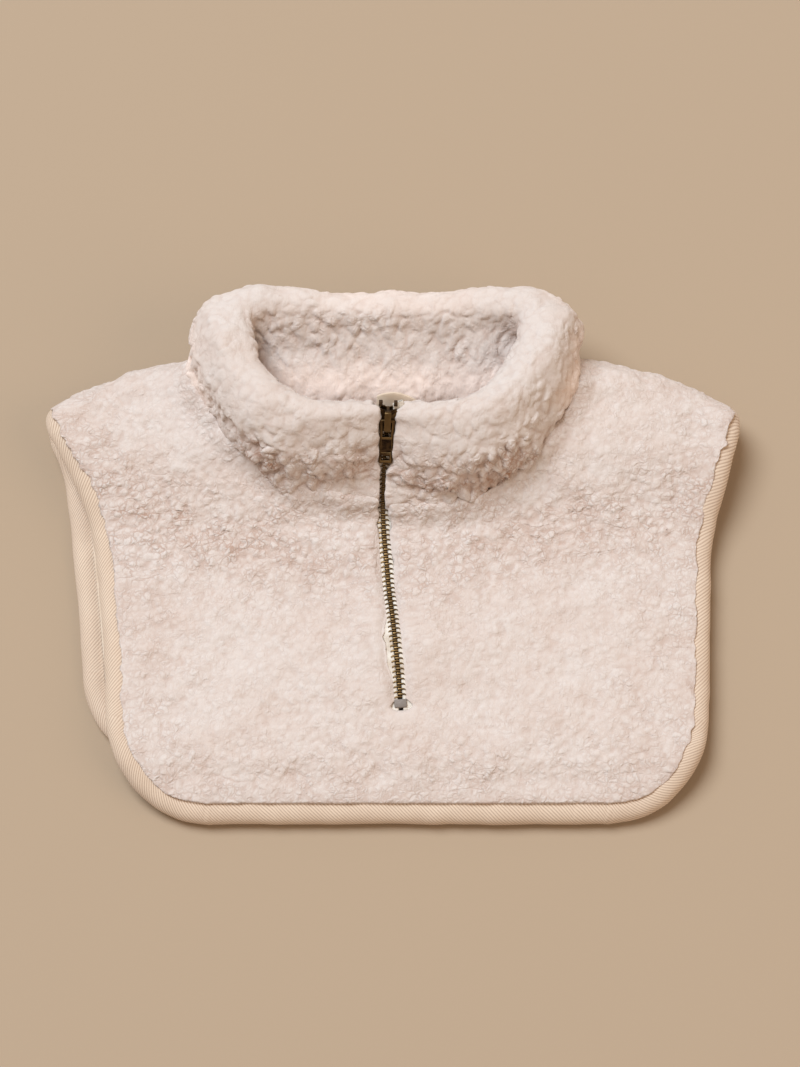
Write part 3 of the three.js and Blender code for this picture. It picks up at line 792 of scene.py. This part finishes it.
# Sizes are in mm, and hills are given as size and height. Loose is how far the locks turn from the flow,
# and the flag for painted light is 1 where the pile is painted paler inside the neck, where light falls
pile = {
    "frontPile": {
        "node": "front_panel",
        "sculpt": riseAtCollar,
        "cover": frontCover,
        "relief": frontRelief,
        "leans": (leanToZip, leanToBinding),
        "paintedLight": 0,
        "voxel": 1.9,
        "soften": 10,
        "hills": ((26, 0.9), (12, 0.8), (7, 0.65)),
        "curls": 1,
        "lockEvery": 3.1,
        "lockLong": 3.4,
        "lockWide": 2.4,
        "lockHigh": 1.5,
        "flow": (0.1, -1, 0),
        "loose": 1.6,
        "seed": 11,
    },
    "backPile": {
        "node": "back_panel",
        "sculpt": restAsIs,
        "cover": backCover,
        "relief": everywhere,
        "leans": (),
        "paintedLight": 1,
        "voxel": 2.2,
        "soften": 8,
        "hills": ((26, 0.5), (9, 0.3)),
        "curls": 0.6,
        "lockEvery": 3.3,
        "lockLong": 3.4,
        "lockWide": 2.4,
        "lockHigh": 1.7,
        "flow": (0, -1, 0),
        "loose": 1.6,
        "seed": 12,
    },
    "collarPile": {
        "node": "collar",
        "sculpt": slumpInside,
        "cover": everywhere,
        "relief": collarRelief,
        "leans": (leanToZip, leanToBinding),
        "paintedLight": 1,
        "voxel": 1.8,
        "soften": 12,
        "hills": ((30, 1.5), (14, 1.4), (7, 0.5)),
        "curls": 0.72,
        "lockEvery": 4.2,
        "lockLong": 5.2,
        "lockWide": 3.1,
        "lockHigh": 2.5,
        "flow": (0, -0.8, -0.8),
        "loose": 1.0,
        "seed": 13,
    },
}

# How the locks differ from one another
lockSpread = {
    "turn": 0.6,
    "size": (0.75, 1.35),
    "wide": (0.85, 1.15),
    "high": (0.6, 1.25),
    "bend": 0.1,
}

# Pile grows wherever its cover is over this
leastCover = 0.02


def scatter(points, gap, random):
    # Points picked at random that stand at least one gap apart
    cells = np.floor(points / gap).astype(int).tolist()
    spots = points.tolist()
    steps = [(x, y, z) for x in (-1, 0, 1) for y in (-1, 0, 1) for z in (-1, 0, 1)]
    taken = {}
    chosen = []
    for index in random.permutation(len(points)).tolist():
        x, y, z = cells[index]
        near = (spot for i, j, k in steps for spot in taken.get((x + i, y + j, z + k), ()))
        if all(math.dist(spots[index], spot) > gap for spot in near):
            taken.setdefault((x, y, z), []).append(spots[index])
            chosen.append(index)
    return np.array(chosen)


def densify(mesh, cover):
    # Halves the edges wherever the pile shows
    shown = cover(readPoints(mesh), readNormals(mesh)) > leastCover
    shape = bmesh.new()
    shape.from_mesh(mesh)
    shape.verts.ensure_lookup_table()
    edges = [edge for edge in shape.edges if shown[edge.verts[0].index] and shown[edge.verts[1].index]]
    bmesh.ops.subdivide_edges(shape, edges=edges, cuts=1, use_grid_fill=True)
    bmesh.ops.triangulate(shape, faces=[face for face in shape.faces if len(face.verts) > 4])
    intoMesh(shape, mesh)


def plantLocks(spec, points, normals, cover):
    # One lock of pile at each seed, lying the way the pile flows
    random = np.random.default_rng(spec["seed"])
    seeds = np.flatnonzero(cover > leastCover)
    seeds = seeds[scatter(points[seeds], spec["lockEvery"] * mm, random)]
    count = len(seeds)
    middle, up = points[seeds], normals[seeds]
    flow = np.array(spec["flow"]) + spec["loose"] * random.normal(0, lockSpread["turn"], (count, 3))
    flow = unit(flow - up * np.sum(flow * up, axis=1, keepdims=True))
    size = random.uniform(*lockSpread["size"], count)
    return {
        "middle": middle,
        "flow": flow,
        "side": np.cross(up, flow),
        "long": spec["lockLong"] * size,
        "wide": spec["lockWide"] * size * random.uniform(*lockSpread["wide"], count),
        "high": spec["lockHigh"] * random.uniform(*lockSpread["high"], count),
        "bend": random.normal(0, lockSpread["bend"], count),
        "tone": random.uniform(0, 1, count),
    }


def lockHeights(spec, locks, points):
    # Each lock is a small dome, narrower at its tip. At each point the highest of the six nearest shows
    tree = treeOf(locks["middle"])
    near = np.array([[hit[1] for hit in tree.find_n(point, 6)] for point in points])
    fray = np.stack([wander(points, 1.6, spec["seed"] + axis) for axis in (50, 51, 52)], axis=1)
    offset = ((points + 0.25 * mm * fray)[:, None] - locks["middle"][near]) / mm
    onward = np.sum(offset * locks["flow"][near], axis=2)
    aside = np.sum(offset * locks["side"][near], axis=2) + locks["bend"][near] * onward**2
    share = onward / locks["long"][near]
    narrow = locks["wide"][near] * (1 - 0.3 * np.clip(share, -1, 1))
    dome = np.sqrt(np.clip(1 - share**2 - (aside / narrow) ** 2, 0, 1))
    height = locks["high"][near] * dome * (1 + 0.35 * share)
    row = np.arange(len(points))
    best = np.argmax(height, axis=1)
    second, first = np.sort(height, axis=1)[:, -2:].T
    # A crease runs where two locks are equally high; it marks where painted shade goes
    creaseShade = np.exp(-(((first - second) / (0.14 * spec["lockHigh"])) ** 2))
    creaseShade *= 0.6 + 0.4 * wander(points, 4, 3)
    return np.maximum(height[row, best], 0.3 * spec["lockHigh"]), near[row, best], creaseShade


def growPile(name):
    spec = pile[name]
    mesh = softened(name, spec["node"], spec["voxel"], spec["soften"])
    writePoints(mesh, spec["sculpt"](readPoints(mesh), readNormals(mesh)))
    densify(mesh, spec["cover"])
    points, normals = readPoints(mesh), readNormals(mesh)
    cover = spec["cover"](points, normals)
    locks = plantLocks(spec, points, normals, cover)
    height, lock, creaseShade = lockHeights(spec, locks, points)

    # Smooth beside the zip, where the pile is pressed over the tapes
    pressed = 0.25 + 0.75 * smoothstep(nearest(chainTree, points), 6, 11)
    relief = spec["relief"](points, normals) * pressed
    curl = (height - height[cover > 0.5].mean()) * relief
    rise = curl + wanderSum(points, spec["hills"], spec["seed"])
    points = points + normals * (rise * cover * mm)[:, None]
    points += locks["flow"][lock] * (0.35 * height * relief * cover * mm)[:, None]
    for lean in spec["leans"]:
        points = lean(points)
    points[:, 2] = np.maximum(points[:, 2], 0.1 * mm)
    writePoints(mesh, points)
    mesh = appliedModifiers(mesh, ("SMOOTH", {"factor": 0.5, "iterations": 1}))

    # What the fleece's shader reads, including where it paints shade low in the pile and in creases, and
    # where it paints light inside the neck
    writeAttribute(mesh, "pileHeight", np.where(cover > leastCover, curl / spec["lockHigh"] + 0.6, 0.5))
    writeAttribute(mesh, "curlRelief", relief * spec["curls"])
    writeAttribute(mesh, "lockCreaseShade", creaseShade * relief)
    writeAttribute(mesh, "lockTone", locks["tone"][lock])
    # Painted light inside the neck, kept off the shaded folds
    paintedLight = insideNeck(points, normals) * (1 - inShadedFolds(points, normals)) * spec["paintedLight"]
    writeAttribute(mesh, "paintedLightShare", paintedLight)
    return makePiece(name, mesh, fleeceMaterial, [spec["node"]])


frontPile = growPile("frontPile")
backPile = growPile("backPile")
collarPile = growPile("collarPile")


# Edge binding, one twill tape folded over the edge

binding = {
    "ribEvery": 1.8,
    "ringsInRib": 4,
    "ribHigh": 0.14,
    # Which point of the section has the row of stitches
    "stitchPoint": 3,
    # Half of the folded section: distance from the fold, distance from the middle
    "section": (
        (10.9, 2.6), (11.1, 3.2), (10.7, 3.75), (9.9, 3.65), (9.2, 3.9), (7.8, 4.3),
        (6.2, 4.45), (4.6, 4.25), (3.1, 3.75), (1.8, 2.9), (0.8, 1.7), (0.1, 0.6),
    ),
    "inside": ((1.9, -2.3), (1.9, 2.3)),
    # The finished width, and a place inside the section that its faces turn away from
    "wide": 11,
    "centre": (5.5, 0),
    # Puckers of two sizes, each with its height
    "pucker": ((7, 0.28), (17, 0.35)),
    "twill": (228, 208, 188),
    "patch": (238, 220, 200),
    # Painted shade in the grooves between ribs
    "grooveShade": (158, 126, 102),
    # Painted shade in the stitch holes, and how strong it is
    "stitchShade": (96, 72, 54),
    "stitchShadeAmount": 0.8,
    "seed": 21,
}


def makeTwill():
    material, tree, surface = startMaterial(
        "twillTape", Roughness=0.85, Sheen_Weight=0.2, Sheen_Roughness=0.5, Specular_IOR_Level=0.3
    )
    place = places(tree)
    faded = times(tree, spread(tree, noise(tree, place, 60, 3), 0.4, 0.68), 0.5)
    colour = blendColours(tree, faded, paint(*binding["twill"]), paint(*binding["patch"]))
    # Painted shade in the grooves between ribs
    grooveShade = spread(tree, attribute(tree, "ribGrooveShade"), 0.3, 1, 0, 0.75)
    thread = spread(tree, noise(tree, place, 2200), 0.35, 0.65, 0.7, 1)
    colour = blendColours(tree, times(tree, grooveShade, thread), colour, paint(*binding["grooveShade"]))
    # Painted shade in the stitch holes
    colour = blendColours(tree, attribute(tree, "stitchHoleShade"), colour, paint(*binding["stitchShade"]))
    tree.links.new(colour, surface.inputs["Base Color"])
    tree.links.new(bump(tree, noise(tree, place, 2400), 0.5, 0.25), surface.inputs["Normal"])
    return material


twillMaterial = makeTwill()


def bindingSteps():
    fold = bindingPath[:, 0]
    return np.linalg.norm(np.roll(fold, -1, axis=0) - fold, axis=1) / mm


def bindingFrames(distances):
    # Fold, inward step a mm and outward direction at distances in mm along the tape
    steps = bindingSteps()
    marks = np.concatenate([[0], np.cumsum(steps)])
    where = np.interp(distances % steps.sum(), marks, np.arange(len(marks)))
    smooth = along(bindingPath, where, True)
    inward = (smooth[..., 1, :] - smooth[..., 0, :]) / binding["wide"]
    return smooth[..., 0, :], inward, unit(smooth[..., 2, :])


def bindingSection():
    # The section's points, the way each faces, and how far along the tape the twill has slanted there
    half = np.array(binding["section"])
    inside = np.array(binding["inside"])
    section = np.concatenate([half, (half * (1, -1))[::-1], inside])
    edges = np.roll(section, -1, axis=0) - np.roll(section, 1, axis=0)
    facing = unit(np.stack([edges[:, 1], -edges[:, 0]], axis=1))
    facing *= np.where(np.sum(facing * (section - binding["centre"]), axis=1) < 0, -1, 1)[:, None]
    crosswise = np.linalg.norm(np.diff(section[:2 * len(half)], axis=0), axis=1)
    slant = np.concatenate([[0], np.cumsum(crosswise)])
    slant = np.concatenate([slant, np.linspace(slant[-1], 0, len(inside) + 2)[1:-1]])
    return section, facing, slant


def makeBinding():
    section, facing, slant = bindingSection()
    length = bindingSteps().sum()
    rings = round(length / binding["ribEvery"]) * binding["ringsInRib"]
    start = np.arange(rings) * length / rings
    fold, inward, out = bindingFrames((start[:, None] + slant).ravel())
    points = fold + inward * np.tile(section[:, 0], rings)[:, None]
    points += out * np.tile(section[:, 1] * mm, rings)[:, None]

    # Ribs and puckers stand out from the section all round its outer side
    wave = 0.5 - 0.5 * np.cos(2 * np.pi * np.arange(rings) / binding["ringsInRib"])
    rise = np.tile(wave[:, None] * binding["ribHigh"], (1, len(section)))
    for size, high in binding["pucker"]:
        rise += high * wander(points, size, binding["seed"] + size).reshape(rings, -1)
    rise[:, -len(binding["inside"]):] = 0
    points, inward, out = [rows.reshape(rings, len(section), 3) for rows in (points, inward, out)]
    points += inward * (rise * facing[:, 0])[..., None] + out * (rise * facing[:, 1] * mm)[..., None]
    points[..., 2] = np.maximum(points[..., 2], 0)

    mesh = tubeMesh("edgeBinding", points, closed=True)
    # Painted shade in each groove between ribs
    grooveShade = np.tile((1 - wave)[:, None], (1, len(section)))
    # Painted shade at one stitch hole on every rib
    holeShades = np.zeros_like(grooveShade)
    holeShades[::binding["ringsInRib"], binding["stitchPoint"]] = binding["stitchShadeAmount"]
    writeAttribute(mesh, "ribGrooveShade", grooveShade.ravel())
    writeAttribute(mesh, "stitchHoleShade", holeShades.ravel())
    return makePiece("edgeBinding", mesh, twillMaterial, ["edge_binding"])


makeBinding()


# Lining and guard, plain cloth

lining = {
    "cloth": (240, 226, 208),
    "shade": (222, 202, 180),
    "threadEvery": 0.55,
    # The lining is cut into squares, then lifted and given soft hills
    "cutEvery": 5,
    "lift": 0.5,
    "hills": ((28, 0.35), (10, 0.15)),
    "seed": 31,
}

guard = {
    "voxel": 0.45,
    "soften": 12,
    "hillSize": 6,
    "hillHigh": 0.3,
    # Where its upper edge is highest, and how far it hangs down towards both ends
    "peak": 1,
    "sag": 26,
}


def makeLiningCloth():
    material, tree, surface = startMaterial(
        "liningCloth", Roughness=0.9, Sheen_Weight=0.15, Specular_IOR_Level=0.25
    )
    place = places(tree)
    patches = spread(tree, noise(tree, place, 70, 3), 0.4, 0.7)
    colour = blendColours(tree, patches, paint(*lining["cloth"]), paint(*lining["shade"]))
    tree.links.new(colour, surface.inputs["Base Color"])
    across, down = [stripes(tree, place, lining["threadEvery"], 0.6, direction) for direction in ("X", "Y")]
    threads = maths(tree, "MAXIMUM", across, down)
    tree.links.new(bump(tree, threads, 0.4, 0.15), surface.inputs["Normal"])
    return material


liningMaterial = makeLiningCloth()


def cutToGrid(shape, gap):
    for axis in (0, 1):
        facing = Vector((1 - axis, axis, 0))
        sides = [vert.co[axis] for vert in shape.verts]
        for place in np.arange(min(sides) + gap, max(sides), gap):
            geometry = shape.verts[:] + shape.edges[:] + shape.faces[:]
            bmesh.ops.bisect_plane(shape, geom=geometry, plane_co=facing * float(place), plane_no=facing)


def makeLining():
    shape = copyOfNode("back_lining")
    cutToGrid(shape, lining["cutEvery"] * mm)
    mesh = intoMesh(shape, bpy.data.meshes.new("backLining"))
    points = readPoints(mesh)
    rise = lining["lift"] + wanderSum(points * (1, 1, 0), lining["hills"], lining["seed"])
    points[:, 2] += rise * mm
    writePoints(mesh, points)
    return makePiece("backLining", mesh, liningMaterial, ["back_lining"])


def makeGuard():
    mesh = softened("zipGuard", "zip_guard", guard["voxel"], guard["soften"])
    points, normals = readPoints(mesh), readNormals(mesh)
    hills = guard["hillHigh"] * wander(points, guard["hillSize"], lining["seed"])
    points += normals * (hills * mm)[:, None]
    low, high = points.min(axis=0), points.max(axis=0)
    aside = (points[:, 0] - guard["peak"] * mm) / (high[0] - low[0])
    share = (points[:, 2] - low[2]) / (high[2] - low[2])
    sag = guard["sag"] * mm * aside**2 * share
    points -= sag[:, None] * unit(np.array((0, high[1] - low[1], high[2] - low[2])))
    writePoints(mesh, points)
    return makePiece("zipGuard", mesh, liningMaterial, ["zip_guard"])


backLining = makeLining()
makeGuard()


# Zip

metals = {
    "antiqueBrass": {
        "base": (80, 61, 42),
        "worn": (138, 112, 74),
        "dark": (42, 31, 24),
        "roughness": 0.34,
        "metallic": 1.0,
    },
    "stopMetal": {
        "base": (58, 45, 33),
        "worn": (80, 61, 42),
        "dark": (42, 31, 24),
        "roughness": 0.6,
        "metallic": 0.6,
    },
    "greyMetal": {
        "base": (112, 101, 96),
        "worn": (150, 142, 136),
        "dark": (80, 70, 66),
        "roughness": 0.6,
        "metallic": 0.4,
    },
}


def makeMetal(name):
    finish = metals[name]
    material, tree, surface = startMaterial(name, Metallic=finish["metallic"])
    place = places(tree)
    edge = spread(tree, addNode(tree, "NewGeometry").outputs["Pointiness"], 0.51, 0.58)
    stains = spread(tree, noise(tree, place, 420, 4, 0.6), 0.42, 0.64)
    colour = blendColours(tree, stains, paint(*finish["base"]), paint(*finish["dark"]))
    colour = blendColours(tree, edge, colour, paint(*finish["worn"]))
    tree.links.new(colour, surface.inputs["Base Color"])
    roughness = finish["roughness"]
    rough = spread(tree, noise(tree, place, 900, 3), 0.3, 0.7, roughness, roughness + 0.2)
    tree.links.new(rough, surface.inputs["Roughness"])
    tree.links.new(bump(tree, noise(tree, place, 1500, 3), 0.3, 0.08), surface.inputs["Normal"])
    return material


brassMaterial = makeMetal("antiqueBrass")
stopMaterial = makeMetal("stopMetal")
greyMaterial = makeMetal("greyMetal")

tape = {
    "cloth": (240, 234, 224),
    "shade": (214, 200, 184),
    "rowEvery": 0.7,
    "columnEvery": 0.9,
    # Inner and outer edge from the chain's middle, the outer one nearer at the upper end
    "inner": 1.1,
    "outer": 12,
    "topOuter": 6,
    "taper": 9,
    # The section: share of the way out, and height. The cord along the inner edge is thicker
    "section": (
        (0, -0.5), (0, 0.5), (0.06, 0.75), (0.14, 0.75), (0.2, 0.4),
        (0.6, 0.4), (1, 0.4), (1, -0.4), (0.2, -0.4),
    ),
    # How far the two tapes part at the upper end, and how far down that reaches
    "parting": 2.6,
    "partingLong": 7,
}


def makeTapeCloth():
    material, tree, surface = startMaterial(
        "zipTape", Roughness=0.85, Sheen_Weight=0.1, Specular_IOR_Level=0.3
    )
    place = places(tree)
    patches = spread(tree, noise(tree, place, 160, 3), 0.4, 0.7)
    colour = blendColours(tree, patches, paint(*tape["cloth"]), paint(*tape["shade"]))
    tree.links.new(colour, surface.inputs["Base Color"])
    rows = stripes(tree, place, tape["rowEvery"], 1.0, "Y")
    columns = stripes(tree, place, tape["columnEvery"], 0.8, "X")
    tree.links.new(bump(tree, times(tree, rows, columns), 0.6, 0.2), surface.inputs["Normal"])
    return material


tapeMaterial = makeTapeCloth()


def makeTape(name, node, side):
    distances = np.arange(0, chainLength() + 0.5, 1.0)
    middle, across, up, _ = chainFrames(distances)
    taper = smoothstep(distances, 0, tape["taper"])
    outer = tape["topOuter"] + (tape["outer"] - tape["topOuter"]) * taper
    parting = tape["parting"] * smoothstep(-distances, -tape["partingLong"], 0)
    rows = []
    for share, level in tape["section"]:
        aside = side * (tape["inner"] + (outer - tape["inner"]) * share + parting)
        rows.append(middle + across * (aside * mm)[:, None] + up * (level * mm))
    mesh = tubeMesh(name, np.stack(rows, axis=1))
    return makePiece(name, mesh, tapeMaterial, [node])


def bevelled(shape, width):
    edges = [edge for edge in shape.edges if len(edge.link_faces) == 2 and edge.calc_face_angle(0) > 0.5]
    bmesh.ops.bevel(shape, geom=edges, offset=width, segments=2, affect="EDGES", profile=0.5)


teeth = {
    # Along the chain: from tooth to tooth, before the first one, and kept free after the last one
    "every": 2.54,
    "first": 8,
    "last": 6,
    # One tooth of the left row, pointing to +X, with a bent jaw on the tape's cord, as rows of
    # distance across, middle along the chain and half width
    "outline": (
        (-2.9, 0.5, 0.3), (-2.3, 0.12, 0.36), (-1.5, 0, 0.42),
        (-0.9, 0, 0.4), (0.5, 0, 0.52), (0.9, 0, 0.3),
    ),
    "high": 1.25,
    "bevel": 0.12,
}


def toothMesh():
    rows = teeth["outline"]
    outline = [(x, y + half) for x, y, half in rows] + [(x, y - half) for x, y, half in reversed(rows)]
    shape = bmesh.new()
    corners = [shape.verts.new((x, y, -teeth["high"])) for x, y in outline]
    top = bmesh.ops.extrude_face_region(shape, geom=[shape.faces.new(corners)])
    moved = [item for item in top["geom"] if isinstance(item, bmesh.types.BMVert)]
    bmesh.ops.translate(shape, verts=moved, vec=(0, 0, 2 * teeth["high"]))
    bmesh.ops.recalc_face_normals(shape, faces=shape.faces)
    bevelled(shape, teeth["bevel"])
    return intoMesh(shape, bpy.data.meshes.new("tooth"))


def makeTeeth(name, node, side):
    tooth = toothMesh()
    shape = readPoints(tooth) * (-side, 1, 1)
    # The right row stands half a step further down
    first = teeth["first"] + (teeth["every"] / 2 if side > 0 else 0)
    distances = np.arange(first, chainLength() - teeth["last"], teeth["every"])
    middle, across, up, onward = [rows[:, None] for rows in chainFrames(distances)]
    points = middle + mm * (shape[:, :1] * across + shape[:, 1:2] * onward + shape[:, 2:] * up)
    faces = [list(face.vertices) for face in tooth.polygons]
    allFaces = [
        [corner + len(shape) * index for corner in face]
        for index in range(len(distances))
        for face in faces
    ]
    mesh = bpy.data.meshes.new(name)
    mesh.from_pydata(points.reshape(-1, 3).tolist(), [], allFaces)
    turnOutwards(mesh)
    return makePiece(name, mesh, brassMaterial, [node])


def makeBevelled(name, node, material, width, body="garment"):
    # The node's own shape with its edges rounded
    shape = copyOfNode(node)
    bmesh.ops.dissolve_limit(shape, angle_limit=0.02, verts=shape.verts, edges=shape.edges)
    bevelled(shape, width * mm)
    mesh = intoMesh(shape, bpy.data.meshes.new(name))
    makePiece(name, mesh, material, [node], body)
    mesh.set_sharp_from_angle(angle=math.radians(40))


for sideName, side in (("left", -1), ("right", 1)):
    ending = sideName.capitalize()
    makeTape("zipTape" + ending, "zip_tape_" + sideName, side)
    makeTeeth("zipTeeth" + ending, "zip_teeth_" + sideName, side)
    makeBevelled("zipTopStop" + ending, "zip_top_stop_" + sideName, stopMaterial, 0.3)
makeBevelled("zipSlider", "zip_slider", brassMaterial, 0.15)
makeBevelled("zipPull", "zip_pull", brassMaterial, 0.15, "pull")
makeBevelled("zipBottomStop", "zip_bottom_stop", greyMaterial, 0.5)
